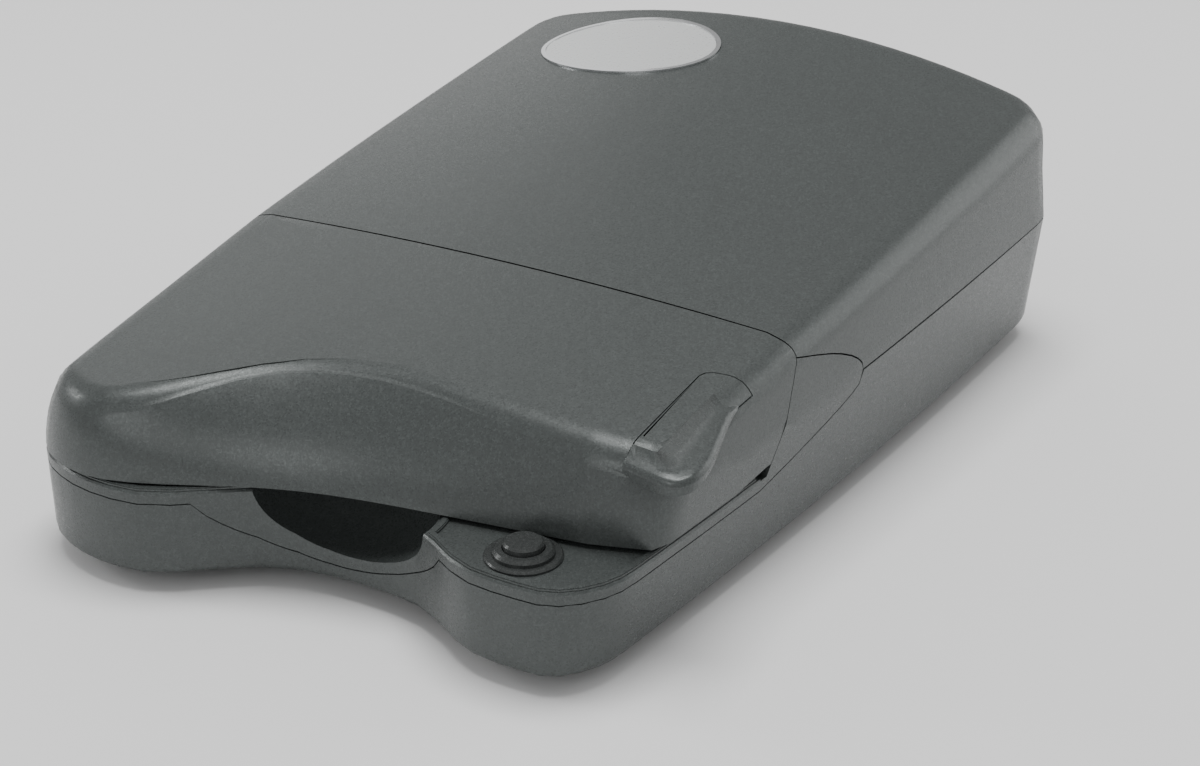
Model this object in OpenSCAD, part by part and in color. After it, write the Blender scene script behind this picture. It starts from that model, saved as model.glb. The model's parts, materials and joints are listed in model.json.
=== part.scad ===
/* [Overall size] */
// Width of the body at its widest
body_w = 280; // [260:1:300]
// Depth of the body, from the front lobe to the rear wall
body_d = 410; // [395:1:430]
// Height over the feet, at the highest point of the rear cover
total_h = 130; // [124:1:138]
// Height of the rubber feet under the housing
foot_h = 8; // [6:0.5:10]

/* [Plan outline] */
// How much the half width shrinks 200 mm from the widest point
side_bow = 5.6; // [4:0.1:7]
// Depth position of the widest point
widest_y = 175; // [160:1:185]
// Rounding of the housing's right front corner in plan
corner_front = 24; // [20:1:28]
// Rounding of the other front corners in plan
corner_tight = 14; // [11:1:17]
// Rounding of the rear corners in plan
corner_rear = 24; // [18:1:32]
// How much the rear wall bows out in its middle
rear_arch = 3; // [0:0.5:5]
// Middle of the left lobe, from the left side
lobe_in = 58; // [54:1:62]
// How far the left lobe stands out
lobe_out = 36; // [32:1:40]
// Width of the left lobe on its inner side
lobe_w = 46; // [42:1:50]
// How far the left lobe swells out to the side
lobe_side = 12; // [9:0.5:14]
// Middle of the button pod, from the right side
pod_in = 56; // [52:1:60]
// How far the button pod stands out
pod_out = 21; // [18:1:24]
// Width of the button pod on its inner side
pod_w = 40; // [36:1:44]

/* [Front cover face] */
// How far the cover's lower edge stands out under its lobe
cover_lobe = 22.6; // [21:0.1:25]
// Width of the cover's lobe on its inner side
cover_lobe_w = 54; // [50:1:58]
// Slant of the cover's front edge in plan
cover_skew = 0.15; // [0.13:0.01:0.17]
// How far the cover's face leans back in the hollow
lean_max = 26; // [22:1:30]
// Sideways place where the face leans most
lean_x = -15; // [-20:1:-10]
// How the lean grows with height
lean_power = 1.5; // [1.3:0.1:1.8]
// Rounding of the grip's upper edge
wing_r = 3; // [2:0.1:4]

/* [Heights] */
// Parting line of the rear cover and the housing
part_z = 63; // [61:0.5:65]
// Seam of the deck and the housing at the front
seam_z = 39; // [38:0.5:40]
// Top of the deck ledge
deck_z = 44; // [43.5:0.5:45]
// Lower edge of the front cover
cover_z = 46; // [46:0.5:47.5]
// Shoulder height at the front end
shoulder_front = 73.5; // [71:0.5:77]
// Shoulder height at the seam of the two covers
shoulder_seam = 91.5; // [89:0.5:95]
// Shoulder height at the rear
shoulder_rear = 109; // [105:0.5:112]
// Crown of the front cover's top
crown_front = 4; // [3:0.5:5]
// Crown at the seam of the two covers
crown_seam = 5; // [4:0.5:6]
// Soft radius between top and walls
soft_r = 12; // [10:0.5:14]
// Draft of the housing's side walls, from parting line to floor
draft_low = 7; // [5:0.5:8]
// Draft of the cover walls, from parting line to shoulder
draft_top = 3; // [2:0.5:4]
// Wall of the plastic casings
wall = 2.6; // [2.2:0.1:3]
// Line of air between two casings
gap = 0.5; // [0.4:0.05:0.6]

/* [Cover hinge] */
// Seam of the two covers on top, from the front lobe
seam_back = 154; // [150:1:157]
// The hinge pin lies this far in front of the seam
hinge_ahead = 4.6; // [4.2:0.1:5.5]
// The hinge pin lies this far under the shoulder
hinge_under = 5; // [4.5:0.1:5.5]
// Side seam at the cover's lower edge, behind the upper seam
seam_slant = 20; // [17:0.5:23]
// Radius of the hinge pins
pin_r = 1.5; // [1.2:0.1:1.8]
// Radial play of a pin in its bore
pin_play = 0.05; // [0.02:0.01:0.1]

/* [Deck and button] */
// The scan button, from the right side
button_in = 58.2; // [57:0.1:60]
// The scan button, from the front lobe
button_back = 35; // [34:0.5:36]
// Radius of the button's cap
button_r = 7.6; // [6.5:0.1:8]
// Radius of the stepped ring round the button
bezel_r = 11.5; // [10.6:0.1:11.6]
// How far the scan button travels
button_travel = 1.6; // [1:0.1:2]
// Height of the bead along the deck's edge
bead_h = 1.2; // [0.8:0.1:1.4]
// Width of the dip in the housing's front edge
hollow_w = 104; // [98:1:108]
// Depth of that dip
hollow_h = 24.3; // [20:0.1:26]
// Half width of the finger bowl behind the dip
bowl_r = 38; // [34:0.5:40]

/* [Film path] */
// Length of the film holder
holder_l = 230; // [220:1:234]
// Width of the film holder
holder_w = 36.4; // [36:0.1:37]
// Middle of the film path, from the front lobe
film_back = 115; // [114:0.5:116]
// Radius of the feed roller
roller_r = 10; // [9.5:0.1:10.5]
// How far the film holder travels to the left
film_travel = 120; // [80:1:140]

/* [Inside] */
// Height of the optical axis
optic_z = 26; // [25.5:0.1:26.5]
// Distance between the two guide rods
rod_gap = 44; // [42:1:46]
// Radius of the guide rods
rod_r = 2; // [1.5:0.1:2.2]
// Thickness of the circuit boards
board_t = 1.6; // [1.2:0.1:2]

/* [Hidden] */
nx = 24;
ny = 26;
eps = 0.01;
front_end = -body_d / 2;
rear_end = body_d / 2;
side_end = body_w / 2;
lobe_x = lobe_in - side_end;
pod_x = side_end - pod_in;
hollow_y = front_end + lobe_out;
seam_y = front_end + seam_back;
film_y = front_end + film_back;
base_z = foot_h;
floor_z = base_z + wall;
crown_rear = total_h - shoulder_rear;
peak_y = rear_end - soft_r - 4;
axis_y = seam_y - hinge_ahead;
axis_z = shoulder_seam - hinge_under;
seam_low_y = seam_y - seam_slant;
ear_tip_y = seam_y + 51;
ear_end_y = seam_low_y - 4;
// Ahead of the seam the ears stop just under the plate's top face
sill_z = deck_z - 0.15;
plate_z = deck_z - wall;
bulkhead_y = seam_y + 8.8;
bulkhead_t = 2.4;
deck_end_y = seam_y + 43;
button_x = side_end - button_in;
button_y = front_end + button_back;
bezel_top = deck_z + 4;
cap_top = bezel_top + 2.6;
stem_r = 2.5;
film_z = deck_z + 1;
film_t = 4;
rail_t = 3;
gate_l = holder_l + 6;
rail_y = holder_w / 2 + 0.4 + rail_t / 2;
roller_x = 36;
roller_z = film_z - 0.3 - roller_r;
shaft_r = 2;
knuckle_x = side_end - 40;
knuckle_l = 8;
knuckle_r = 3.2;
ear_plate = 2.5;
side_play = 0.5;
grip_x = side_end - 31;
grip_y = front_end + 87;
grip_axis = [grip_x + 1, grip_y, shoulder(grip_y) - 2.8];
grip_slope = atan((shoulder_seam - shoulder_front) / (seam_y + body_d / 2));
lug_r = 2.2;
pin_reach = 43;
hook_x = grip_x + 5.6;
hook_y = grip_y - 8;
hook_z = 56;
lamp_l = 60;
lamp_top = 76;
lamp_h = 18;
screw_x = 34;
screw_r = 2.5;
lens_r = 8;
rod_start = seam_y + 13;
rod_end = rod_start + 86;
lens_y = rod_start + 38;
sensor_y = rod_end + 16;
board_z = floor_z + 8;
socket_z = board_z + board_t + 5.5;
switch_x = 38 - side_end;
inlet_x = switch_x + 42;
data_x = inlet_x + 35;
rocker_r = 6.5;
side_screw = side_end - 28;
front_screw_y = seam_y + 21;
rear_screw_y = rear_end - 95;
screw_places = [[side_screw, front_screw_y], [-side_screw, front_screw_y],
    [side_screw, rear_screw_y], [-side_screw, rear_screw_y]];
foot_places = [[45 - side_end, front_end + 40], [side_end - 54, front_end + 55],
    [35 - side_end, rear_end - 40], [side_end - 35, rear_end - 40]];

graphite = [0.36, 0.37, 0.36];
black = [0.1, 0.1, 0.11];
steel = [0.7, 0.71, 0.73];
green = [0.1, 0.35, 0.2];
white = [0.9, 0.9, 0.88];

// ---- plan outline -------------------------------------------------------
function bell(x, c, w, p = 2) = exp(-pow(abs(x - c) / w, p));
function clamp01(t) = max(0, min(1, t));
function mix(a, b, t) = a + (b - a) * t;
function unit(v) = v / norm(v);
function half_w(y) = body_w / 2 - side_bow * pow((y - widest_y) / 200, 2);
function side_x(p, cover) = half_w(p.y)
    + (p.x < 0 ? lobe_side * (cover ? 0.6 : 1) * bell(p.y, 25 - body_d / 2, 38) : 0);
function rear_y(x) = rear_end - rear_arch * pow(x / (body_w / 2), 2);
function front_low(x) = hollow_y - lobe_out * bell(x, lobe_x, x > lobe_x ? lobe_w : lobe_w + 14, 2.5)
    - pod_out * bell(x, pod_x, x < pod_x ? pod_w : pod_w + 20, 3);
function front_top(x) = hollow_y + cover_skew * x
    - cover_lobe * bell(x, lobe_x - 6, x > lobe_x - 6 ? cover_lobe_w : cover_lobe_w - 18);
function front(x, cover) = cover ? front_top(x) : front_low(x);
// Distance inside a corner of two walls that are a and b away, rounded by r
function in_corner(a, b, r) = a < r && b < r ? r - norm([r - a, r - b]) : min(a, b);
function inside(p, cover) = let (a = side_x(p, cover) - abs(p.x))
    p.y < 0 ? in_corner(a, p.y - front(p.x, cover), cover || p.x < 0 ? corner_tight : corner_front)
            : in_corner(a, rear_y(p.x) - p.y, corner_rear);
// The outline point along a ray, found by halving
function edge(o, d, cover, lo = 0, hi = 260, n = 24) =
    let (m = (lo + hi) / 2, p = o + d * m)
    n == 0 ? p : inside(p, cover) > 0 ? edge(o, d, cover, m, hi, n - 1) : edge(o, d, cover, lo, m, n - 1);
function diagonal(sx, sy, cover) =
    edge([sx * (body_w / 2 - 60), sy * (body_d / 2 - 70)], [sx, sy] / sqrt(2), cover);
// Steps that lie closer together near both ends
function ease(i, n) = (i / n + (1 - cos(180 * i / n)) / 2) / 2;
function outline(cover) =
    let (fl = diagonal(-1, -1, cover), fr = diagonal(1, -1, cover),
         rr = diagonal(1, 1, cover), rl = diagonal(-1, 1, cover))
    concat(
        [for (i = [0:nx - 1]) edge([mix(fl.x, fr.x, ease(i, nx)), -100], [0, -1], cover)],
        [for (i = [0:ny - 1]) edge([0, mix(fr.y, rr.y, ease(i, ny))], [1, 0], cover)],
        [for (i = [0:nx - 1]) edge([mix(rr.x, rl.x, ease(i, nx)), 60], [0, 1], cover)],
        [for (i = [0:ny - 1]) edge([0, mix(rl.y, fl.y, ease(i, ny))], [-1, 0], cover)]);
function inward(loop) = let (n = len(loop))
    [for (k = [0:n - 1]) let (t = loop[(k + 1) % n] - loop[(k + n - 1) % n]) unit([-t.y, t.x])];
// Front and rear walls and the left lobe stand nearly upright; side walls take the full draft
function share(p, n) = (1 - 0.85 * n.y * n.y) * (1 - 0.75 * bell(norm(p - [lobe_x - 26, 10 - body_d / 2]), 0, 45));

loop_low = outline(false);
in_low = inward(loop_low);
loop_top = outline(true);
in_top = inward(loop_top);
count = len(loop_low);
share_low = [for (k = [0:count - 1]) share(loop_low[k], in_low[k])];
share_top = [for (k = [0:count - 1]) share(loop_top[k], in_top[k])];

// ---- top surface --------------------------------------------------------
function along(y) = clamp01((y - seam_y) / (peak_y - seam_y));
function ahead(y) = clamp01((seam_y - y) / (seam_y + body_d / 2));
function shoulder(y) = y > seam_y ? mix(shoulder_seam, shoulder_rear, along(y))
                                  : mix(shoulder_seam, shoulder_front, ahead(y));
function crown(y) = y > seam_y ? mix(crown_seam, crown_rear, along(y))
                               : mix(crown_seam, crown_front, ahead(y));
function top_z(p) = shoulder(p.y) + crown(p.y) * (1 - pow(p.x / (body_w / 2), 2));
function draft(z, s) = z < part_z ? s * draft_low * (part_z - z) / (part_z - base_z)
                                  : draft_top * (z - part_z) / (shoulder_seam - part_z);
function lean(p) = lean_max * bell(p.x, lean_x, p.x < lean_x ? 50 : 90) * clamp01((-p.y - body_d / 2 + 75) / 25)
    + 6 * bell(norm(p - [15 - body_w / 2, 25 - body_d / 2]), 0, 35);

// ---- skins --------------------------------------------------------------
function quads(n, rings) =
    [for (j = [0:rings - 2]) for (k = [0:n - 1]) let (a = j * n + k, b = j * n + (k + 1) % n)
        each [[a, a + n, b], [b, a + n, b + n]]];

// Solid under the soft-shouldered top, set in by off
module upper_form(off, walls, arcs, low_z) {
    r = soft_r - off;
    function foot(k, s) = loop_top[k] + in_top[k] * s;
    tops = [for (k = [0:count - 1]) let (
        l = lean(loop_top[k]),
        z = top_z(foot(k, off + l + draft_top)) - off,
        steep = atan(lean_power * l / (z - r - cover_z)),
        zt = z - r * (1 - sin(steep))) [l, zt, atan(lean_power * l / (zt - cover_z))]];
    wall_rings = [for (j = [0:walls]) for (k = [0:count - 1]) let (
        z = mix(low_z, tops[k][1], j / walls),
        t = clamp01((z - cover_z) / (tops[k][1] - cover_z)),
        p = foot(k, off + tops[k][0] * pow(t, lean_power) + draft(min(z, shoulder_seam), share_top[k])))
        [p.x, p.y, z]];
    arc_rings = [for (j = [1:arcs]) for (k = [0:count - 1]) let (
        a = mix(tops[k][2], 90, j / arcs),
        p = foot(k, off + tops[k][0] + draft(min(tops[k][1], shoulder_seam), share_top[k])
                    + r * (cos(tops[k][2]) - cos(a)))) [p.x, p.y, top_z(p) - off - r * (1 - sin(a))]];
    rim = [for (k = [0:count - 1]) arc_rings[(arcs - 1) * count + k]];
    function fr(i) = rim[i];
    function rt(j) = rim[nx + j];
    function bk(i) = rim[2 * nx + ny - i];
    function lf(j) = rim[(2 * nx + 2 * ny - j) % count];
    inner = [for (j = [1:ny - 1]) for (i = [1:nx - 1]) let (
        u = ease(i, nx),
        v = ease(j, ny),
        p = fr(i) * (1 - v) + bk(i) * v + lf(j) * (1 - u) + rt(j) * u
            - (fr(0) * (1 - u) * (1 - v) + fr(nx) * u * (1 - v) + bk(0) * (1 - u) * v + bk(nx) * u * v))
        [p.x, p.y, top_z(p) - off]];
    rings = walls + 1 + arcs;
    last = (rings - 1) * count;
    function id(i, j) =
        j == 0 ? last + i :
        i == nx ? last + nx + j :
        j == ny ? last + 2 * nx + ny - i :
        i == 0 ? last + (2 * nx + 2 * ny - j) % count :
        rings * count + (j - 1) * (nx - 1) + i - 1;
    polyhedron(
        concat(wall_rings, arc_rings, inner),
        concat([[for (k = [0:count - 1]) k]], quads(count, rings),
            [for (j = [0:ny - 1]) for (i = [0:nx - 1])
                each [[id(i, j), id(i, j + 1), id(i + 1, j)], [id(i + 1, j), id(i, j + 1), id(i + 1, j + 1)]]]));
}

// Points of the housing outline at a height, set in by off
function low_ring(off, z) = [for (k = [0:count - 1]) loop_low[k] + in_low[k] * (off + draft(z, share_low[k]))];

// Solid inside the drafted housing wall, through a list of heights, each set in by more[j]
module lower_form(off, zs, more) {
    n = len(zs);
    pts = [for (j = [0:n - 1]) for (p = low_ring(off + more[j], zs[j])) [p.x, p.y, zs[j]]];
    polyhedron(pts, concat([[for (k = [0:count - 1]) k]], quads(count, n),
        [[for (k = [count - 1:-1:0]) (n - 1) * count + k]]));
}

module upper_skin(low_z) {
    difference() {
        upper_form(0, 5, 6, low_z);
        translate([0, 0, -eps]) upper_form(wall, 2, 3, low_z);
    }
}

// One closed skin without inner edges
module one_skin() resize([0, 0, 0]) children();

// ---- side profiles ------------------------------------------------------
// Upper and lower edge of the ear, from its tip to the side seam
function ear_top(s) = mix(part_z - 2, shoulder_seam - 6, pow(s, 0.56));
function ear_low(s) = mix(part_z - 2, seam_z, (pow(s, 0.2) + s) / 2);
ear_steps = [0, 0.03, 0.1, 0.2, 0.35, 0.5, 0.7, 0.85, 1];
function seam_at(z) = mix(seam_low_y, seam_y, (z - cover_z) / (axis_z - cover_z));

// Extrudes a side view (points are [y, z]) across the whole width
module across(points, w = 400) rotate([90, 0, 90]) translate([0, 0, -w / 2]) linear_extrude(w) polygon(points);

// The ear's side view, grown by g
module ear_region(g) {
    n = len(ear_steps) - 1;
    across(concat([for (i = [0:n]) let (s = ear_steps[i]) [mix(ear_tip_y + g, ear_end_y, s), ear_low(s) - g]],
        [[ear_end_y, sill_z], [seam_at(sill_z), sill_z], [seam_at(ear_top(1)), ear_top(1) + g]],
        [for (i = [n:-1:1]) let (s = ear_steps[i]) [mix(ear_tip_y + g, seam_y, s), ear_top(s) + g]]));
}
// Everything under the parting line, the ears and the front seam
module below_parting(g) {
    across(concat([[300, -50], [300, part_z - g]],
        [for (s = ear_steps) [mix(ear_tip_y + g, ear_end_y, s), ear_low(s) - g]],
        [[-300, seam_z - g], [-300, -50]]));
}
// Height of the skin over the hinge pin at x
function skin_over(x) = let (d = max(0, abs(x) - half_w(seam_y) + draft_top + soft_r))
    top_z([x, seam_y]) - (d >= soft_r ? soft_r : soft_r - sqrt(soft_r * soft_r - d * d));
function roll_r(x) = norm([hinge_ahead, max(0, skin_over(x) - axis_z)]);
module hinge_roll(g) {
    w = half_w(seam_y) + 5;
    n = 14;
    translate([0, axis_y, axis_z]) rotate([0, 90, 0]) rotate_extrude($fn = 64)
        polygon(concat([[0, -w]], [for (i = [-n:n]) let (x = w * sin(90 * i / n)) [roll_r(x) + g, x]], [[0, w]]));
}
// Room of the front cover: ahead of the side seam, and within the hinge's roll
module cover_room(g) {
    across([[-300, -50], [seam_at(-50) + g, -50], [seam_y + g, axis_z], [axis_y + g, axis_z],
        [axis_y + g, 200], [-300, 200]]);
    hinge_roll(g);
}
// Lower limit of the dip in the housing's front edge
function dip_z(x) = seam_z - hollow_h * pow(max(0, 1 - pow(x / (hollow_w / 2), 2)), 0.8);
module dip_room(g) {
    translate([0, front_end + 65, 0]) rotate([90, 0, 0]) linear_extrude(100)
        polygon(concat([for (i = [-12:12]) let (x = hollow_w / 2 * i / 12) [x, dip_z(x) + g]],
            [[hollow_w / 2, deck_z], [-hollow_w / 2, deck_z]]));
}
module bowl(g) translate([4, hollow_y - 3, cover_z]) scale([bowl_r + g, 34 + g, 26 + g]) sphere(1, $fn = 64);

// ---- casings ------------------------------------------------------------
module screw_posts(p, z0, z1) translate([p.x, p.y, z0]) cylinder(r = 4.5, h = z1 - z0, $fn = 32);

module bottom_housing() color(graphite) difference() {
    one_skin() {
        difference() {
            intersection() {
                lower_form(0, [base_z, base_z + 1, base_z + 3, part_z], [2.4, 0.7, 0, 0]);
                below_parting(gap / 2);
            }
            lower_form(wall, [floor_z, part_z + 1], [0, 0]);
            dip_room(-gap / 2);
        }
        screw_posts(screw_places[0], floor_z - 1, plate_z);
        screw_posts(screw_places[1], floor_z - 1, plate_z);
        screw_posts(screw_places[2], floor_z - 1, part_z);
        screw_posts(screw_places[3], floor_z - 1, part_z);
    }
    for (p = screw_places) translate([p.x, p.y, base_z - 1]) {
        cylinder(r = 3.4, h = 3, $fn = 32);
        cylinder(r = 1.55, h = 60, $fn = 32);
    }
    translate([inlet_x, rear_end - 8, socket_z]) cube([12, 30, 11.4], center = true);
    translate([data_x, rear_end - 8, socket_z]) cube([13, 30, 11.4], center = true);
    translate([switch_x, rear_end - 8, socket_z]) cube([14.4, 30, 15], center = true);
}

module rear_top_cover() color(graphite) difference() {
    one_skin() {
        difference() {
            upper_skin(seam_z);
            below_parting(-gap / 2);
            cover_room(gap);
            ear_region(gap / 2);
            across([[-300, 0], [ear_tip_y, 0], [ear_tip_y, part_z - 2], [-300, part_z - 2]]);
            intersection() {
                badge_shape(2.2);
                difference() {
                    upper_form(-4, 1, 3, seam_z);
                    upper_form(1.2, 1, 3, seam_z);
                }
            }
        }
        intersection() {
            union() {
                screw_posts(screw_places[2], part_z, 120);
                screw_posts(screw_places[3], part_z, 120);
            }
            upper_form(wall - 0.5, 2, 3, seam_z);
        }
    }
    for (p = [screw_places[2], screw_places[3]]) translate([p.x, p.y, part_z - 1])
        cylinder(r = 1.3, h = 14, $fn = 32);
}

module front_cover() color(graphite) difference() {
    union() {
        one_skin() difference() {
            intersection() {
                upper_skin(cover_z);
                cover_room(0);
            }
            grip_room(gap);
            // Way out of the film holder on the left
            translate([-250, film_y - holder_w / 2 - 1, 0]) cube([200, holder_w + 2, film_z + film_t + 2]);
            // The right lower edge clears the ear
            across([[seam_low_y - 24, 0], [seam_low_y - 24, cover_z], [seam_low_y - 2, cover_z + 2.6],
                [seam_low_y + 4, cover_z + 2.6], [seam_low_y + 4, 0]]);
        }
        for (s = [-1, 1]) translate([s * knuckle_x, axis_y, axis_z]) rotate([0, 90, 0])
            cylinder(r = knuckle_r, h = knuckle_l, center = true, $fn = 48);
        for (s = [-1, 1]) translate([s * knuckle_x - knuckle_l / 2, axis_y - 14, axis_z - 2])
            cube([knuckle_l, 13.5, 6]);
        for (s = [-1, 1]) translate([s * 10, film_y, lamp_top]) cylinder(r = 3, h = 14, $fn = 32);
        at_grip_axis() for (y = [-14, 18]) translate([-7, y, -lug_r]) {
            cube([8.8, 3, lug_r + 1.4]);
            cube([5.4, 3, lug_r + 3.4]);
        }
    }
    for (s = [-1, 1]) translate([s * knuckle_x, axis_y, axis_z]) rotate([0, 90, 0])
        cylinder(r = pin_r + pin_play, h = knuckle_l + 2, center = true, $fn = 48);
    at_grip_axis() rotate([90, 0, 0]) cylinder(r = 1.02, h = pin_reach, center = true, $fn = 48);
}

// ---- grip of the cover --------------------------------------------------
module at_grip_axis() translate(grip_axis) rotate([grip_slope, 0, 0]) children();
// Room of the grip in the cover, grown by g: lower edge in side view and in front view, then plan
module grip_room(g) intersection() {
    across([for (p = concat([[-200, 150], [35 + g, 150], [35 + g, 82.8 - g], [23, 81.6 - g], [15, 80.8 - g],
        [7, 79.3 - g], [-2, 77 - g], [-10, 75.4 - g], [-18, 74.2 - g], [-30, 71.8 - g], [-200, 71.2 - g]]))
            [grip_y + p.x, p.y]]);
    translate([grip_x, grip_y + 38, 0]) rotate([90, 0, 0]) linear_extrude(200)
        polygon([[-5, 150], [-5, 75.2 - g], [1, 74.2 - g], [12, 71.4 - g], [90, 70.8 - g], [90, 150]]);
    translate([grip_x, grip_y, 0]) linear_extrude(150) polygon([[-g, -90], [-g, 28.5], [1 - g, 31 + g],
        [3.5, 32.8 + g], [9, 34 + g], [14.5, 35 + g], [90, 35 + g], [90, -90]]);
}
// Marks on the wing's edge from the rear to the front left, seen from the grip's middle in plan;
// the third value is the drop of the edge under the top surface
wing_marks = [[18, 32, 7.3], [18.9, 23, 4.8], [20.2, 15, 3.5], [22.2, 7, 3.5], [24.4, -2, 3.8],
    [26.4, -10, 4], [27.4, -18, 3.9], [26.6, -25.5, 3.9], [23, -30, 3.6], [17, -31.5, 3.2],
    [9, -30.5, 2.9], [-2, -28.5, 2.6], [-8, -28, 2.6]];
// Smooth curve through four marks
function glide(a, b, c, d, t) = (2 * b + (c - a) * t + (2 * a - 5 * b + 4 * c - d) * t * t
    + (3 * b - a - 3 * c + d) * t * t * t) / 2;
wing_last = len(wing_marks) - 1;
wing_line = concat([for (i = [0:wing_last - 1]) for (t = [0:0.25:0.75])
    glide(wing_marks[max(0, i - 1)], wing_marks[i], wing_marks[i + 1], wing_marks[min(wing_last, i + 2)], t)],
    [wing_marks[wing_last]]);
// Wing that turns the cover's soft shoulder into a lip for the fingers
module wing(low_z = 60) {
    n = len(wing_line);
    columns = [for (k = [0:n - 1]) let (
        m = wing_line[k],
        way = wing_line[min(n - 1, k + 1)] - wing_line[max(0, k - 1)],
        inw = unit([way.y, -way.x]),
        e = [grip_x + m.x, grip_y + m.y],
        zt = top_z([grip_x, e.y]) - m.z,
        back = [min(e.x - 5, grip_x + 10), m.y > -20 ? e.y : mix(grip_y - 20, e.y, 0.15)])
        each [[e.x, e.y, low_z],
            for (a = [0:22.5:90]) let (q = e + inw * wing_r * (1 - cos(a))) [q.x, q.y, zt - wing_r * (1 - sin(a))],
            [back.x, back.y, top_z(back) - 0.1],
            [back.x, back.y, low_z]]];
    c = 8;
    polyhedron(columns, concat(
        [for (k = [0:n - 2]) for (i = [0:c - 1]) let (p = k * c + i, q = k * c + (i + 1) % c)
            each [[p, p + c, q], [q, p + c, q + c]]],
        [for (i = [1:c - 2]) [0, i, i + 1]],
        [for (i = [1:c - 2]) [(n - 1) * c, (n - 1) * c + i + 1, (n - 1) * c + i]]));
}
module cover_grip() color(graphite) difference() {
    union() {
        one_skin() difference() {
            intersection() {
                union() {
                    upper_form(0, 5, 6, cover_z);
                    wing();
                }
                grip_room(0);
            }
            upper_form(wall, 3, 4, cover_z);
        }
        at_grip_axis() for (y = [-10.6, 14.4]) translate([-0.6, y, -lug_r]) cube([5, 3.2, lug_r + 3.4]);
        translate([hook_x, hook_y, hook_z]) cube([3, 8, 26]);
    }
    at_grip_axis() rotate([90, 0, 0]) cylinder(r = 1.05, h = pin_reach, center = true, $fn = 48);
}
module grip_pins() color(steel) at_grip_axis() for (y = [-14, 14.4]) translate([0, y + 6.6, 0]) rotate([90, 0, 0])
    cylinder(r = 1, h = 6.6, $fn = 48);
module latch_hook() color(steel) translate([hook_x, hook_y, plate_z - 5]) {
    cube([3, 8, hook_z - plate_z + 5]);
    translate([0, 0, 1.5]) rotate([-90, 0, 0]) cylinder(r = 1.5, h = 8, $fn = 32);
}

// ---- deck ---------------------------------------------------------------
module edge_bead(inset, z0, z1) translate([0, 0, z0]) linear_extrude(z1 - z0) difference() {
    intersection() {
        edge_area(1.2 + inset);
        translate([-200, -300]) square([400, 300 + seam_low_y - 6]);
    }
    edge_area(4 - inset);
}
module edge_area(inset) difference() {
    polygon(low_ring(inset, deck_z));
    translate([4, hollow_y - 3]) scale([bowl_r + inset, 34 + inset]) circle(1, $fn = 64);
}
module deck_form() {
    // Plate with its flush skirt, ahead of the ears
    difference() {
        lower_form(0, [seam_z + gap / 2, deck_z - 0.8, deck_z], [0, 0, 0.8]);
        lower_form(wall, [seam_z - 1, plate_z], [0, 0]);
        across([[ear_end_y, 0], [300, 0], [300, 100], [ear_end_y, 100]]);
    }
    // Plate inside the housing wall, behind the side seam
    intersection() {
        lower_form(wall + gap, [plate_z, deck_z], [0, 0]);
        across([[ear_end_y - 5, 0], [deck_end_y, 0], [deck_end_y, 100], [ear_end_y - 5, 100]]);
    }
    // Apron that fills the dip, with the finger bowl behind it
    intersection() {
        lower_form(0, [base_z + 3, seam_z + gap / 2, deck_z - 0.8, deck_z], [0, 0, 0, 0.8]);
        union() {
            difference() {
                dip_room(gap / 2);
                lower_form(wall, [base_z + 2, seam_z - 1, plate_z], [0, 0, 0]);
            }
            intersection() {
                bowl(wall);
                translate([-100, front_end - 45, 0]) cube([200, 130, deck_z]);
            }
        }
    }
    edge_bead(0, deck_z - 0.3, deck_z + bead_h - 0.4);
    edge_bead(0.4, deck_z + 0.1, deck_z + bead_h);
}
// Ears, with a flange that joins them to the plate
module ears() difference() {
    intersection() {
        union() {
            upper_skin(seam_z);
            difference() {
                upper_form(wall - 0.1, 3, 2, seam_z);
                upper_form(wall + 3, 3, 2, seam_z - 1);
            }
        }
        ear_region(-gap / 2);
    }
    intersection() {
        cover_room(gap);
        across([[-300, sill_z], [300, sill_z], [300, 200], [-300, 200]]);
    }
}
module bulkhead() intersection() {
    upper_form(wall + 1, 4, 3, seam_z);
    across([[bulkhead_y, deck_z - 1], [bulkhead_y + bulkhead_t, deck_z - 1],
        [bulkhead_y + bulkhead_t, 150], [bulkhead_y, 150]]);
}
module mid_deck() color(graphite) difference() {
    one_skin() difference() {
        union() {
            difference() {
                deck_form();
                bowl(0);
            }
            ears();
            bulkhead();
            // Hanger for the roller's free end
            translate([roller_x - 4, film_y - 19, roller_z - 4]) cube([8, 4, plate_z - roller_z + 5]);
        }
        // Scan window, roller slot and latch slot
        translate([0, film_y, deck_z]) cube([6, 28, 20], center = true);
        translate([roller_x, film_y, deck_z]) cube([2 * roller_r - 3, 26, 20], center = true);
        translate([hook_x - 2, hook_y - 6, plate_z - 1]) cube([9, 15.5, 6]);
        // The bead opens where the film holder comes out on the left
        translate([-250, film_y - holder_w / 2 - 1, film_z - 0.3]) cube([200, holder_w + 2, 10]);
    }
    translate([button_x, button_y, 0]) cylinder(r = stem_r + 0.05, h = 60, $fn = 48);
    translate([roller_x, film_y, roller_z]) rotate([90, 0, 0]) cylinder(r = shaft_r + 0.05, h = 30, $fn = 48);
    for (s = [-1, 1]) translate([s * side_screw, front_screw_y, plate_z - 1])
        cylinder(r = 1.3, h = 6, $fn = 32);
}

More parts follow.
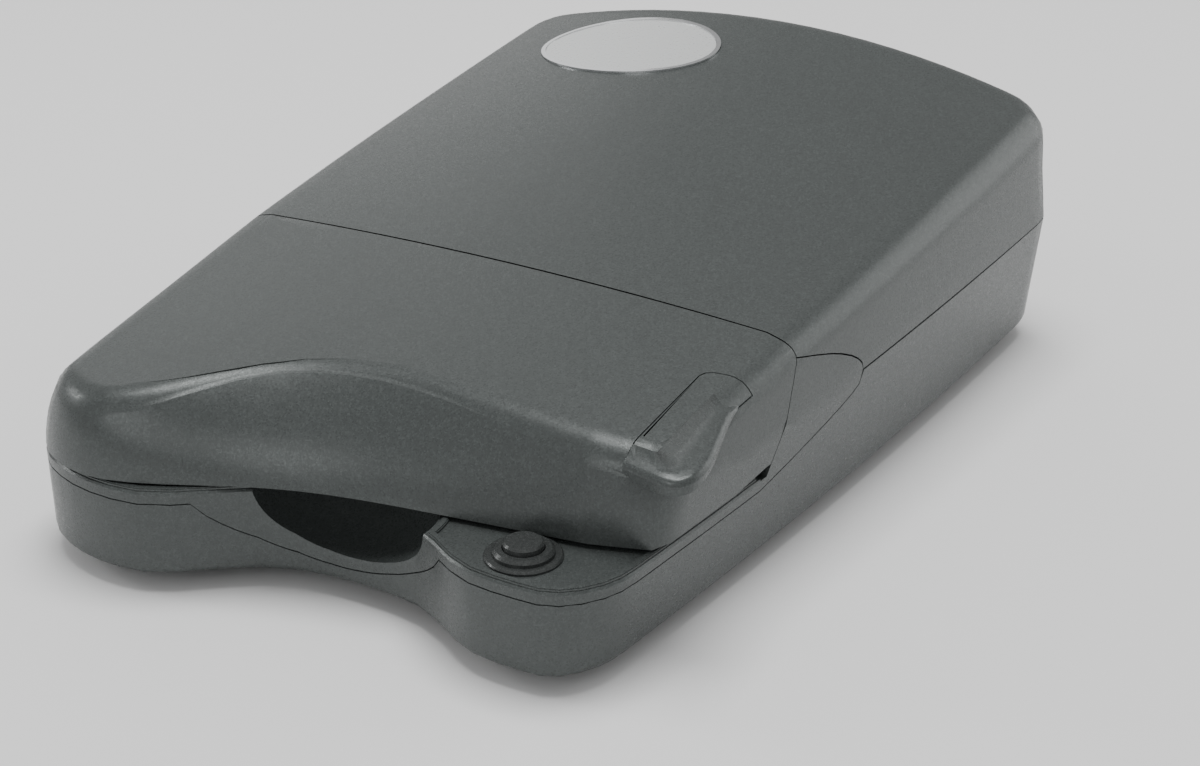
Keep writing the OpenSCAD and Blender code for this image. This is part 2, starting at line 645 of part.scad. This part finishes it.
// ---- button -------------------------------------------------------------
module button_bezel() color(graphite) translate([button_x, button_y, 0]) difference() {
    rotate_extrude($fn = 96) polygon([[0, deck_z], [bezel_r + 3, deck_z], [bezel_r + 3, deck_z + 0.8],
        [bezel_r + 2.4, deck_z + 1.4], [bezel_r, deck_z + 1.5], [bezel_r, bezel_top - 1.2], [bezel_r - 1.2, bezel_top],
        [0, bezel_top]]);
    translate([0, 0, deck_z - 1]) cylinder(r = button_r + 0.3, h = 20, $fn = 96);
}
module scan_button() color(graphite) translate([button_x, button_y, 0]) {
    rotate_extrude($fn = 96) polygon([[0, deck_z + 1 + button_travel], [button_r, deck_z + 1 + button_travel],
        [button_r, cap_top - 0.8], [button_r - 0.8, cap_top], [0, cap_top]]);
    translate([0, 0, plate_z - 4]) cylinder(r = stem_r, h = deck_z + 2 + button_travel - plate_z + 4, $fn = 48);
}
module button_spring() color(steel) translate([button_x, button_y, deck_z]) difference() {
    cylinder(r = 4.4, h = 1 + button_travel, $fn = 48);
    translate([0, 0, -1]) cylinder(r = 3.4, h = 6, $fn = 48);
}
module button_switch() color(black) translate([button_x, button_y, plate_z]) {
    translate([-4, -4, -11]) cube([8, 8, 4.4]);
    for (s = [-1, 1]) translate([s * 5.5 - 1.5, -4, -11]) cube([3, 8, 11]);
}

// ---- hinge --------------------------------------------------------------
module hinge_brackets() color(steel) for (s = [-1, 1]) difference() {
    union() {
        for (t = [-1, 1])
            translate([s * knuckle_x + t * (knuckle_l / 2 + side_play + ear_plate / 2), axis_y, axis_z]) {
                rotate([0, 90, 0]) cylinder(r = knuckle_r, h = ear_plate, center = true, $fn = 48);
                translate([-ear_plate / 2, -knuckle_r, -26]) cube([ear_plate, 2 * knuckle_r, 26]);
                translate([-ear_plate / 2, -knuckle_r, -26])
                    cube([ear_plate, bulkhead_y - axis_y + knuckle_r, 14]);
            }
        translate([s * knuckle_x - knuckle_l / 2 - side_play - ear_plate, bulkhead_y - 2, axis_z - 26])
            cube([knuckle_l + 2 * side_play + 2 * ear_plate, 2, 14]);
    }
    translate([s * knuckle_x, axis_y, axis_z]) rotate([0, 90, 0])
        cylinder(r = pin_r + 0.02, h = 40, center = true, $fn = 48);
}
module hinge_pins() color(steel) for (s = [-1, 1]) translate([s * knuckle_x, axis_y, axis_z]) rotate([0, 90, 0])
    cylinder(r = pin_r, h = knuckle_l + 2 * side_play + 2 * ear_plate, center = true, $fn = 48);

// ---- feet and screws ----------------------------------------------------
module rubber_feet() color(black) for (p = foot_places) translate([p.x, p.y, 0])
    rotate_extrude($fn = 64) polygon([[0, 0], [8, 0], [9, 1], [9.5, base_z], [0, base_z]]);
module housing_screws() color(steel) for (p = screw_places) translate([p.x, p.y, base_z]) {
    cylinder(r = 3.2, h = 2, $fn = 32);
    cylinder(r = 1.5, h = (p.y < 0 ? plate_z : part_z) - base_z - 2, $fn = 32);
}

// ---- badge --------------------------------------------------------------
badge_at = [83 - side_end, rear_end - 57];
badge_rx = 43;
badge_ry = 29;
module badge_shape(g) translate([badge_at.x, badge_at.y, 80]) linear_extrude(70)
    scale([badge_rx + g, badge_ry + g]) circle(1, $fn = 72);
module badge_band(low, high) difference() {
    upper_form(-high, 1, 3, seam_z);
    upper_form(low, 1, 3, seam_z);
}
module badge_rim() color(steel) one_skin() difference() {
    intersection() {
        badge_shape(2.1);
        badge_band(1.2, 0.9);
    }
    badge_shape(0);
}
module badge_plate() color(white) one_skin() intersection() {
    badge_shape(-0.1);
    badge_band(1.2, 0.5);
}

// ---- film path ----------------------------------------------------------
module film_gate() color(black) for (s = [-1, 1]) {
    translate([-gate_l / 2, film_y + s * rail_y - rail_t / 2, deck_z]) cube([gate_l, rail_t, film_t]);
    translate([-gate_l / 2, film_y + s * (rail_y - 1) - rail_t / 2, deck_z])
        cube([gate_l, rail_t, film_z - deck_z - 0.05]);
}
module holder_frame(z0, t) difference() {
    translate([-holder_l / 2, film_y - holder_w / 2, z0]) cube([holder_l, holder_w, t]);
    for (i = [-2.5:1:2.5]) translate([i * 37.6 - 18, film_y - 12, z0 - 1]) cube([36, 24, t + 2]);
}
module film_holder_base() color(black) holder_frame(film_z, 2.2);
module film_holder_lid() color(black) holder_frame(film_z + 2.2, film_t - 2.2);
module feed_roller() color(black) translate([roller_x, film_y, roller_z]) rotate([90, 0, 0]) {
    translate([0, 0, -12]) cylinder(r = roller_r, h = 24, $fn = 64);
    translate([0, 0, -18]) cylinder(r = shaft_r, h = 36.5, $fn = 48);
}
module drive_motor() color(steel) translate([roller_x, film_y + 15, roller_z]) difference() {
    rotate([-90, 0, 0]) cylinder(r = plate_z - roller_z, h = 20, $fn = 64);
    rotate([-90, 0, 0]) translate([0, 0, -1]) cylinder(r = shaft_r + 0.05, h = 5, $fn = 48);
}

// ---- light --------------------------------------------------------------
module lamp_housing() color(black) difference() {
    translate([-16, film_y - lamp_l / 2, lamp_top - lamp_h]) cube([32, lamp_l, lamp_h]);
    translate([-14, film_y - lamp_l / 2 + 2, lamp_top - lamp_h - 1]) cube([28, lamp_l - 4, lamp_h - 1]);
}
module lamp_board() color(green) translate([-14, film_y - lamp_l / 2 + 2, lamp_top - 2 - board_t])
    cube([28, lamp_l - 4, board_t]);
module lamp_diffuser() color(white) translate([-14, film_y - lamp_l / 2 + 2, lamp_top - lamp_h])
    cube([28, lamp_l - 4, 2]);

// ---- optics -------------------------------------------------------------
module mirror_bracket() color(black) difference() {
    translate([-20, film_y - 14, floor_z]) cube([40, 28, 26]);
    translate([-18, film_y - 30, floor_z + 3]) cube([36, 60, 30]);
}
module mirror() color(white) translate([0, film_y, optic_z - 1]) rotate([-45, 0, 0]) cube([36, 18, 2], center = true);
module rod_brackets() color(black) for (y = [rod_start, rod_end - 4]) difference() {
    translate([-rod_gap / 2 - 6, y, floor_z]) cube([rod_gap + 26, 4, optic_z - floor_z + 14]);
    for (s = [-1, 1]) translate([s * rod_gap / 2, y - 1, optic_z]) rotate([-90, 0, 0])
        cylinder(r = rod_r + 0.02, h = 6, $fn = 48);
    translate([screw_x, y - 1, optic_z]) rotate([-90, 0, 0]) cylinder(r = screw_r + 0.05, h = 6, $fn = 48);
    translate([0, y - 1, optic_z]) rotate([-90, 0, 0]) cylinder(r = 12, h = 6, $fn = 64);
}
module guide_rods() color(steel) for (s = [-1, 1]) translate([s * rod_gap / 2, rod_start, optic_z])
    rotate([-90, 0, 0]) cylinder(r = rod_r, h = rod_end - rod_start, $fn = 48);
module lens_carriage() color(black) difference() {
    translate([-rod_gap / 2 - 5, lens_y - 9, optic_z - 10]) cube([rod_gap + 24, 18, 20]);
    for (s = [-1, 1]) translate([s * rod_gap / 2, lens_y - 20, optic_z]) rotate([-90, 0, 0])
        cylinder(r = rod_r + 0.05, h = 40, $fn = 48);
    translate([screw_x, lens_y - 20, optic_z]) rotate([-90, 0, 0]) cylinder(r = screw_r + 0.1, h = 40, $fn = 48);
    translate([0, lens_y - 20, optic_z]) rotate([-90, 0, 0]) cylinder(r = lens_r, h = 40, $fn = 64);
}
module lens_barrel() color(black) translate([0, lens_y - 15, optic_z]) rotate([-90, 0, 0]) difference() {
    cylinder(r = lens_r, h = 30, $fn = 64);
    translate([0, 0, -1]) cylinder(r = lens_r - 2, h = 32, $fn = 64);
}
module lead_screw() color(steel) translate([screw_x, rod_start, optic_z]) rotate([-90, 0, 0])
    cylinder(r = screw_r, h = rod_end - rod_start + 2, $fn = 48);
module focus_motor() color(steel) translate([screw_x, rod_end, optic_z]) rotate([-90, 0, 0]) difference() {
    cylinder(r = 9, h = 14, $fn = 64);
    translate([0, 0, -1]) cylinder(r = screw_r + 0.05, h = 4, $fn = 48);
}
module sensor_board() color(green) translate([-28, sensor_y, floor_z]) cube([52, board_t, 32]);
module sensor_chip() color(black) translate([-20, sensor_y - 2, optic_z - 5]) cube([40, 2, 10]);

// ---- electronics --------------------------------------------------------
module main_board() color(green) translate([54 - side_end, sensor_y + 16, board_z])
    cube([body_w - 102, rear_end - sensor_y - 25, board_t]);
module board_posts() color(steel) for (x = [60 - side_end, side_end - 54]) for (y = [sensor_y + 23, rear_end - 18])
    translate([x, y, floor_z]) cylinder(r = 3, h = board_z - floor_z, $fn = 32);
module power_inlet() color(black) translate([inlet_x, rear_end - 3, socket_z]) difference() {
    translate([-5.5, -13, -5.5]) cube([11, 13, 11]);
    translate([0, -10, 0]) rotate([-90, 0, 0]) cylinder(r = 3, h = 20, $fn = 48);
}
module data_socket() color(steel) translate([data_x, rear_end - 3, socket_z]) difference() {
    translate([-6, -15, -5.5]) cube([12, 15, 11]);
    translate([-4.2, -13, -4]) cube([8.4, 20, 8]);
}
module switch_body() color(black) difference() {
    translate([switch_x - 7, rear_end - 20, floor_z]) cube([14, 14, socket_z + 9 - floor_z]);
    translate([switch_x, rear_end - 8, socket_z]) rotate([0, 90, 0])
        cylinder(r = rocker_r + 0.6, h = 10, center = true, $fn = 64);
    translate([switch_x, rear_end - 8, socket_z]) rotate([0, 90, 0])
        cylinder(r = 1.25, h = 30, center = true, $fn = 48);
}
module power_rocker() color(black) translate([switch_x, rear_end - 8, socket_z]) {
    across([[4.6, 0], [6, 4.4], [2.5, rocker_r - 0.6], [-4, 4], [-4, -4], [2.5, 0.6 - rocker_r], [6, -4.4]], 9.4);
    rotate([0, 90, 0]) cylinder(r = 1.2, h = 14, center = true, $fn = 48);
}

bottom_housing();
mid_deck();
rear_top_cover();
front_cover();
cover_grip();
grip_pins();
latch_hook();
badge_rim();
badge_plate();
button_bezel();
scan_button();
button_spring();
button_switch();
hinge_brackets();
hinge_pins();
rubber_feet();
housing_screws();
film_gate();
film_holder_base();
film_holder_lid();
drive_motor();
feed_roller();
lamp_housing();
lamp_board();
lamp_diffuser();
mirror_bracket();
mirror();
rod_brackets();
guide_rods();
lens_carriage();
lens_barrel();
lead_screw();
focus_motor();
sensor_board();
sensor_chip();
main_board();
board_posts();
power_inlet();
data_socket();
switch_body();
power_rocker();
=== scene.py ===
# %% [markdown]
# # A film negative scanner, dressed for its picture
# The solids of this scanner come from its construction model: moulded casings,
# a front cover on two hinge pins, a release grip, a scan button, a film holder
# and the works inside. This lesson turns them into something that looks like
# the real machine. Each finish gets a procedural material, and the moulded
# casings get smooth skins, some of them with softly broken edges. Nothing is
# added to the machine: all that the picture shows is in the solids already.

# %% Load the solids
import json
import math
import bpy
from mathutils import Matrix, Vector

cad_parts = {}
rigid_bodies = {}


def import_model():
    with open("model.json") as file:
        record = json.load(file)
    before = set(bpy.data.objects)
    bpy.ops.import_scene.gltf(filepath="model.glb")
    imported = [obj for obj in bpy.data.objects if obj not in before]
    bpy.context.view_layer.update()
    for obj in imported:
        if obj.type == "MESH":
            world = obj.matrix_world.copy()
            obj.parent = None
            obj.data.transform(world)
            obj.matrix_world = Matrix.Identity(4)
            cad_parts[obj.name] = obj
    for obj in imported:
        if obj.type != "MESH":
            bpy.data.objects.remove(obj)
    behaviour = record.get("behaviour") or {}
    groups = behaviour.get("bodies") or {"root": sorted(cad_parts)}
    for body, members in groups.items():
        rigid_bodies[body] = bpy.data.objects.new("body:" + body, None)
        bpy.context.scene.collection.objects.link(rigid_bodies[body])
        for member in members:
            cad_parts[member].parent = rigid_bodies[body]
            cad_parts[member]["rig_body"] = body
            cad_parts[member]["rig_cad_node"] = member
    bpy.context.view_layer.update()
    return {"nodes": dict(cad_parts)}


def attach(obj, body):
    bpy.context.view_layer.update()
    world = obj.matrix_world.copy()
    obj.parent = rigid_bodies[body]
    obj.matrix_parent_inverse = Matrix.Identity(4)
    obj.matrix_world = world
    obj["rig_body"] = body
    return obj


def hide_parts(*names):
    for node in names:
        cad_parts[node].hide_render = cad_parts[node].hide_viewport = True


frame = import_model()

# %% [markdown]
# ## Helpers for selecting and finishing
# An operator acts on everything that is selected, and the solids arrive
# selected. So each step starts by letting go of everything and taking hold of
# one object. `apply_all` turns the modifiers of a piece into plain mesh, as a
# maker does once the shape is right, and `settle` hangs the finished piece on
# the body that it moves with.

# %% Helpers
# Blender works in metres
MM = 0.001


def hold(piece):
    """Selects one object alone and makes it active."""
    bpy.ops.object.select_all(action="DESELECT")
    piece.hide_set(False)
    piece.select_set(True)
    bpy.context.view_layer.objects.active = piece


def apply_all(piece):
    """Turns all modifiers of a piece into mesh."""
    hold(piece)
    for modifier in list(piece.modifiers):
        bpy.ops.object.modifier_apply(modifier=modifier.name)


def settle(piece, name, body, material):
    """Names a finished piece, zeroes its place, and hangs it on its body."""
    hold(piece)
    bpy.ops.object.transform_apply(location=True, rotation=True, scale=True)
    piece.name = name
    piece.data.name = name
    piece.data.materials.clear()
    piece.data.materials.append(material)
    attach(piece, body)
    print(name, "faces:", len(piece.data.polygons))


# %% [markdown]
# ## The metallic flake
# The casings are moulded in graphite plastic with a fine metallic flake. Up
# close, each flake is a tiny mirror that happens to face its own way, so it is
# a little lighter or darker and a little sharper than its neighbour. Cells of a
# Voronoi texture give each flake three random values: one for its tone, one for
# its gloss and one for its height. A slow noise under them makes the tone wander
# by a few percent over the part, as in any moulding. Two finishes use the same
# effect, so it is built once as a node group.

# %% The flake node group
def new_group(name, inputs, outputs):
    """A shader node group with named sockets, and its two end nodes."""
    group = bpy.data.node_groups.new(name, "ShaderNodeTree")
    for label, kind, value in inputs:
        socket = group.interface.new_socket(label, in_out="INPUT", socket_type=kind)
        socket.default_value = value
    for label, kind in outputs:
        group.interface.new_socket(label, in_out="OUTPUT", socket_type=kind)
    return group, group.nodes.new("NodeGroupInput"), group.nodes.new("NodeGroupOutput")


def math_node(tree, operation, a, b):
    """A math node fed by sockets or by plain numbers."""
    node = tree.nodes.new("ShaderNodeMath")
    node.operation = operation
    for index, value in enumerate((a, b)):
        if isinstance(value, (int, float)):
            node.inputs[index].default_value = value
        else:
            tree.links.new(value, node.inputs[index])
    return node.outputs[0]


DRIFT_SCALE = 14.0
DRIFT_DEPTH = 0.10
GLINT_POWER = 3.0
# The mean of a random number raised to GLINT_POWER
GLINT_MEAN = 0.25
GLOSS_SPREAD = 0.16


def build_flake():
    """One random tone, gloss and height for each flake, over a slow drift."""
    group, given, result = new_group(
        "metallic_flake",
        [("Tint", "NodeSocketColor", (0.1, 0.1, 0.1, 1)),
         ("Flake Size mm", "NodeSocketFloat", 0.5),
         ("Sparkle", "NodeSocketFloat", 0.3),
         ("Roughness", "NodeSocketFloat", 0.4)],
        [("Color", "NodeSocketColor"),
         ("Roughness", "NodeSocketFloat"),
         ("Height", "NodeSocketFloat")])
    link = group.links.new
    place = group.nodes.new("ShaderNodeTexCoord").outputs["Object"]
    cells = group.nodes.new("ShaderNodeTexVoronoi")
    link(place, cells.inputs["Vector"])
    link(math_node(group, "DIVIDE", 1 / MM, given.outputs["Flake Size mm"]), cells.inputs["Scale"])
    parts = group.nodes.new("ShaderNodeSeparateColor")
    link(cells.outputs["Color"], parts.inputs[0])
    drift = group.nodes.new("ShaderNodeTexNoise")
    drift.inputs["Scale"].default_value = DRIFT_SCALE
    drift.inputs["Detail"].default_value = 3.0
    link(place, drift.inputs["Vector"])
    # One random number per flake, raised so that only a few flakes shine
    glint = math_node(group, "POWER", parts.outputs[0], GLINT_POWER)
    centred_glint = math_node(group, "SUBTRACT", glint, GLINT_MEAN)
    spread = math_node(group, "MULTIPLY", centred_glint, given.outputs["Sparkle"])
    centred_drift = math_node(group, "SUBTRACT", drift.outputs["Fac"], 0.5)
    wander = math_node(group, "MULTIPLY", centred_drift, DRIFT_DEPTH)
    gain = math_node(group, "ADD", math_node(group, "ADD", spread, wander), 1.0)
    tinted = group.nodes.new("ShaderNodeVectorMath")
    tinted.operation = "SCALE"
    link(given.outputs["Tint"], tinted.inputs[0])
    link(gain, tinted.inputs["Scale"])
    link(tinted.outputs[0], result.inputs["Color"])
    centred_gloss = math_node(group, "SUBTRACT", parts.outputs[1], 0.5)
    rough = math_node(group, "MULTIPLY", centred_gloss, GLOSS_SPREAD)
    link(math_node(group, "ADD", given.outputs["Roughness"], rough), result.inputs["Roughness"])
    link(parts.outputs[2], result.inputs["Height"])
    return group


flake_group = build_flake()
print("node group:", flake_group.name, [s.name for s in flake_group.interface.items_tree])

# %% [markdown]
# ## Satin graphite
# The casing finish is a dark plastic with aluminium powder in it. So it is
# partly metallic: the powder carries the reflections, the plastic the colour.
# The flake group feeds colour, roughness and a very slight bump, which breaks
# up the highlights along the rounded edges into the fine glitter that the real
# surface shows.

# %% Graphite materials
# How far the bump textures lift the surface at full strength
RELIEF = 0.2 * MM


def new_material(name):
    """A fresh node material, its node tree and its Principled shader."""
    material = bpy.data.materials.new(name)
    material.use_nodes = True
    tree = material.node_tree
    return material, tree, tree.nodes["Principled BSDF"]


def flaked(name, tint, roughness, sparkle, metallic, bump, size_mm=0.55):
    """A flaked plastic: tint is the colour that the flakes sit in."""
    material, tree, shader = new_material(name)
    flake = tree.nodes.new("ShaderNodeGroup")
    flake.node_tree = flake_group
    flake.inputs["Tint"].default_value = (*tint, 1)
    flake.inputs["Flake Size mm"].default_value = size_mm
    flake.inputs["Sparkle"].default_value = sparkle
    flake.inputs["Roughness"].default_value = roughness
    relief = tree.nodes.new("ShaderNodeBump")
    relief.inputs["Strength"].default_value = bump
    relief.inputs["Distance"].default_value = RELIEF
    tree.links.new(flake.outputs["Height"], relief.inputs["Height"])
    tree.links.new(flake.outputs["Color"], shader.inputs["Base Color"])
    tree.links.new(flake.outputs["Roughness"], shader.inputs["Roughness"])
    tree.links.new(relief.outputs["Normal"], shader.inputs["Normal"])
    shader.inputs["Metallic"].default_value = metallic
    return material


satin_graphite = flaked("satin_graphite", (0.066, 0.074, 0.072), roughness=0.33,
                        sparkle=0.45, metallic=0.30, bump=0.12)
button_graphite = flaked("button_graphite", (0.050, 0.054, 0.053), roughness=0.28,
                         sparkle=0.40, metallic=0.35, bump=0.10)
print("materials:", satin_graphite.name, button_graphite.name)

# %% [markdown]
# ## Finishes of the small parts
# The badge is pale silvered plastic, its rim is polished. Inside, the holder and
# the brackets are plain black moulding, the pins and motors plated steel, and
# the boards green lacquer over copper. One noise field makes each surface: a
# fine grain on moulding, streaks where the field is squeezed along one axis of
# a metal part, and coarser clouds under the lacquer of the boards.

# %% Grained finishes
# How much of the roughness follows the noise
GLOSS_SWING = 0.2
# The noise values that give the darkest and the lightest tone
RAMP_ENDS = (0.3, 0.7)


def grained(name, colour, roughness, scale, contrast, bump, metallic=0.0, stretch=(1, 1, 1)):
    """A finish whose tone, gloss and relief follow one noise field."""
    material, tree, shader = new_material(name)
    place = tree.nodes.new("ShaderNodeTexCoord").outputs["Object"]
    mapping = tree.nodes.new("ShaderNodeMapping")
    mapping.inputs["Scale"].default_value = stretch
    tree.links.new(place, mapping.inputs["Vector"])
    noise = tree.nodes.new("ShaderNodeTexNoise")
    noise.inputs["Scale"].default_value = scale
    noise.inputs["Detail"].default_value = 4.0
    tree.links.new(mapping.outputs["Vector"], noise.inputs["Vector"])
    ramp = tree.nodes.new("ShaderNodeValToRGB")
    for element, position, side in zip(ramp.color_ramp.elements, RAMP_ENDS, (-1, 1)):
        tone = [min(1.0, c * (1 + side * contrast)) for c in colour]
        element.position = position
        element.color = (*tone, 1)
    tree.links.new(noise.outputs["Fac"], ramp.inputs["Fac"])
    tree.links.new(ramp.outputs["Color"], shader.inputs["Base Color"])
    spread = math_node(tree, "MULTIPLY", noise.outputs["Fac"], GLOSS_SWING)
    gloss = math_node(tree, "ADD", spread, roughness - GLOSS_SWING / 2)
    tree.links.new(gloss, shader.inputs["Roughness"])
    relief = tree.nodes.new("ShaderNodeBump")
    relief.inputs["Strength"].default_value = bump
    relief.inputs["Distance"].default_value = RELIEF
    tree.links.new(noise.outputs["Fac"], relief.inputs["Height"])
    tree.links.new(relief.outputs["Normal"], shader.inputs["Normal"])
    shader.inputs["Metallic"].default_value = metallic
    return material


# Colour, roughness, scale of the grain, contrast, bump, metallic, stretch
black_moulding = grained("black_moulding", (0.022, 0.022, 0.024), 0.55, 1600, 0.25, 0.25)
black_rubber = grained("black_rubber", (0.020, 0.020, 0.020), 0.80, 900, 0.30, 0.35)
plated_steel = grained("plated_steel", (0.55, 0.55, 0.57), 0.30, 500, 0.10, 0.05, 1.0, (1, 1, 8))
polished_rim = grained("polished_rim", (0.78, 0.79, 0.80), 0.12, 300, 0.03, 0.01, 1.0)
silver_badge = grained("silver_badge", (0.60, 0.615, 0.61), 0.30, 900, 0.03, 0.02, 0.25)
dark_aluminium = grained("dark_aluminium", (0.20, 0.20, 0.21), 0.35, 400, 0.08, 0.04, 1.0, (8, 1, 8))
silvered_glass = grained("silvered_glass", (0.88, 0.89, 0.90), 0.12, 200, 0.02, 0.0, 1.0)
milky_diffuser = grained("milky_diffuser", (0.80, 0.80, 0.77), 0.45, 500, 0.03, 0.03)
chip_black = grained("chip_black", (0.03, 0.03, 0.034), 0.30, 700, 0.10, 0.04)
green_lacquer = grained("green_lacquer", (0.020, 0.130, 0.055), 0.35, 260, 0.35, 0.06)
print("finishes:", len(bpy.data.materials))

# %% [markdown]
# ## Which solid gets which finish
# The table names each solid once. Solids whose look is already right keep their
# own mesh and only get the material. The casings and the badge are listed too,
# so that every solid has a finish before their skins take over.

# %% Finishes by solid
FINISH = {
    satin_graphite: ["bottom_housing", "mid_deck", "rear_top_cover", "front_cover", "cover_grip"],
    button_graphite: ["button_bezel", "scan_button"],
    black_moulding: ["button_switch", "film_gate", "film_holder_base", "film_holder_lid",
                     "lamp_housing", "mirror_bracket", "rod_brackets", "lens_carriage",
                     "power_inlet", "switch_body", "power_rocker"],
    black_rubber: ["rubber_feet", "feed_roller"],
    plated_steel: ["grip_pins", "latch_hook", "button_spring", "hinge_brackets", "hinge_pins",
                   "housing_screws", "drive_motor", "guide_rods", "lead_screw", "focus_motor",
                   "board_posts", "data_socket"],
    polished_rim: ["badge_rim"],
    silver_badge: ["badge_plate"],
    dark_aluminium: ["lens_barrel"],
    silvered_glass: ["mirror"],
    milky_diffuser: ["lamp_diffuser"],
    chip_black: ["sensor_chip"],
    green_lacquer: ["lamp_board", "sensor_board", "main_board"],
}
for material, names in FINISH.items():
    for name in names:
        solid = frame["nodes"][name]
        solid.data.materials.clear()
        solid.data.materials.append(material)
dressed = sum(len(names) for names in FINISH.values())
print("solids with a finish:", dressed, "of", len(frame["nodes"]))

# %% [markdown]
# ## Smooth skins for the casings
# A moulded casing has no facets, but its solid is made of flat ones. A copy of
# the solid has its loose triangles merged, flat neighbours dissolved into one
# face, and its shading smoothed wherever two faces meet at a shallow angle. A
# weighted normal modifier then lets the large faces rule the shading.
#
# The sharp edges of a real moulding are broken by a small radius, which catches
# a thin line of light at a parting line. A bevel modifier makes that radius on
# the housing, the deck and the rear cover. The values in the table were set by
# trial: with a limit of 0.4 degrees and no bevel, the rear cover's crown
# showed a dark tick beside the hinge line, and with 0.1 degrees and a bevel, the
# front cover's rolled face showed a streak. Each cover has the pair of values
# that left it clean.

# %% Skins
WELD = 0.02 * MM
SHARP_EDGE = math.radians(40)
SMOOTH_BELOW = math.radians(28)


def skin_of(node, body, material, edge_mm=0.0, flat_deg=0.4):
    """A smooth copy of a faceted solid that stands in for it."""
    piece = frame["nodes"][node].copy()
    piece.data = frame["nodes"][node].data.copy()
    bpy.context.scene.collection.objects.link(piece)
    piece.parent = None
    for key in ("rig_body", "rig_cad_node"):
        del piece[key]
    hold(piece)
    bpy.ops.object.mode_set(mode="EDIT")
    bpy.ops.mesh.select_all(action="SELECT")
    bpy.ops.mesh.remove_doubles(threshold=WELD)
    bpy.ops.mesh.dissolve_degenerate(threshold=WELD)
    bpy.ops.mesh.dissolve_limited(angle_limit=math.radians(flat_deg))
    bpy.ops.object.mode_set(mode="OBJECT")
    if edge_mm:
        bevel = piece.modifiers.new("broken_edge", "BEVEL")
        bevel.width = edge_mm * MM
        bevel.segments = 2
        bevel.limit_method = "ANGLE"
        bevel.angle_limit = SHARP_EDGE
    apply_all(piece)
    bpy.ops.object.shade_smooth_by_angle(angle=SMOOTH_BELOW)
    piece.modifiers.new("even_shading", "WEIGHTED_NORMAL").keep_sharp = True
    apply_all(piece)
    settle(piece, node + "_skin", body, material)
    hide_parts(node)


# Casing, the body that it moves with, radius of its broken edges in mm, and the
# angle in degrees below which neighbouring faces become one
CASINGS = [
    ("bottom_housing", "base", 0.3, 0.4),
    ("mid_deck", "base", 0.3, 0.4),
    ("rear_top_cover", "base", 0.4, 0.1),
    ("front_cover", "cover", 0.0, 0.4),
    ("cover_grip", "grip", 0.0, 0.4),
]
for node, body, edge_mm, flat_deg in CASINGS:
    skin_of(node, body, satin_graphite, edge_mm, flat_deg)
skin_of("badge_plate", "base", silver_badge)
skin_of("badge_rim", "base", polished_rim)

# %% [markdown]
# ## Floor, light and camera
# The picture is a studio product shot: a pale floor that fills the background,
# a large soft light above, and weaker fills from the sides and the front. They
# are square area lights, which give the soft bands of light that run along the
# rounded shoulders. The camera stands at the right front corner, well above the
# table, with a 75 mm lens. Its place was worked out from the edges of the
# machine in the photograph.

# %% Studio
MACHINE_MIDDLE = (0, 0, 0.05)
MACHINE_FRONT = (0, -0.15, 0.04)
PALE_GREY = (0.86, 0.86, 0.86, 1)


def studio_light(name, place, aim, size, watts):
    """A square soft light that looks at a point."""
    bpy.ops.object.light_add(type="AREA", location=place)
    light = bpy.context.object
    light.name = name
    light.data.size = size
    light.data.energy = watts
    light.rotation_euler = (Vector(aim) - Vector(place)).to_track_quat("-Z", "Y").to_euler()


bpy.ops.object.select_all(action="DESELECT")
bpy.ops.mesh.primitive_plane_add(size=12, location=(0, 0, 0))
floor = bpy.context.object
floor.name = "studio_floor"
floor_material, _, floor_shader = new_material("studio_floor")
floor_shader.inputs["Base Color"].default_value = PALE_GREY
floor_shader.inputs["Roughness"].default_value = 0.9
floor.data.materials.append(floor_material)

world = bpy.data.worlds.new("studio_world")
bpy.context.scene.world = world
world.use_nodes = True
world.node_tree.nodes["Background"].inputs["Color"].default_value = (1, 1, 1, 1)
world.node_tree.nodes["Background"].inputs["Strength"].default_value = 0.42
studio_light("top_light", (0.0, 0.1, 2.2), MACHINE_MIDDLE, size=1.2, watts=44)
studio_light("right_light", (1.3, 1.9, 0.7), MACHINE_MIDDLE, size=1.6, watts=14)
studio_light("left_light", (-1.8, 1.4, 1.0), MACHINE_MIDDLE, size=1.4, watts=4)
studio_light("key_light", (-1.6, -0.5, 0.8), MACHINE_MIDDLE, size=0.4, watts=4)
studio_light("front_fill", (0.1, -1.8, 0.9), MACHINE_FRONT, size=0.9, watts=5)

# %% Camera
camera_place = Vector((0.4991, -0.8263, 0.4917))
camera_aim = Vector((-0.0609, 0.1268, -0.0468))
camera_data = bpy.data.cameras.new("product_camera")
camera = bpy.data.objects.new("product_camera", camera_data)
bpy.context.scene.collection.objects.link(camera)
camera_data.lens = 75.0
camera_data.sensor_width = 36.0
camera_data.clip_end = 50.0
camera.location = camera_place
camera.rotation_euler = (camera_aim - camera_place).to_track_quat("-Z", "Y").to_euler()
bpy.context.scene.camera = camera
print("camera:", camera.location[:], "lens", camera_data.lens)
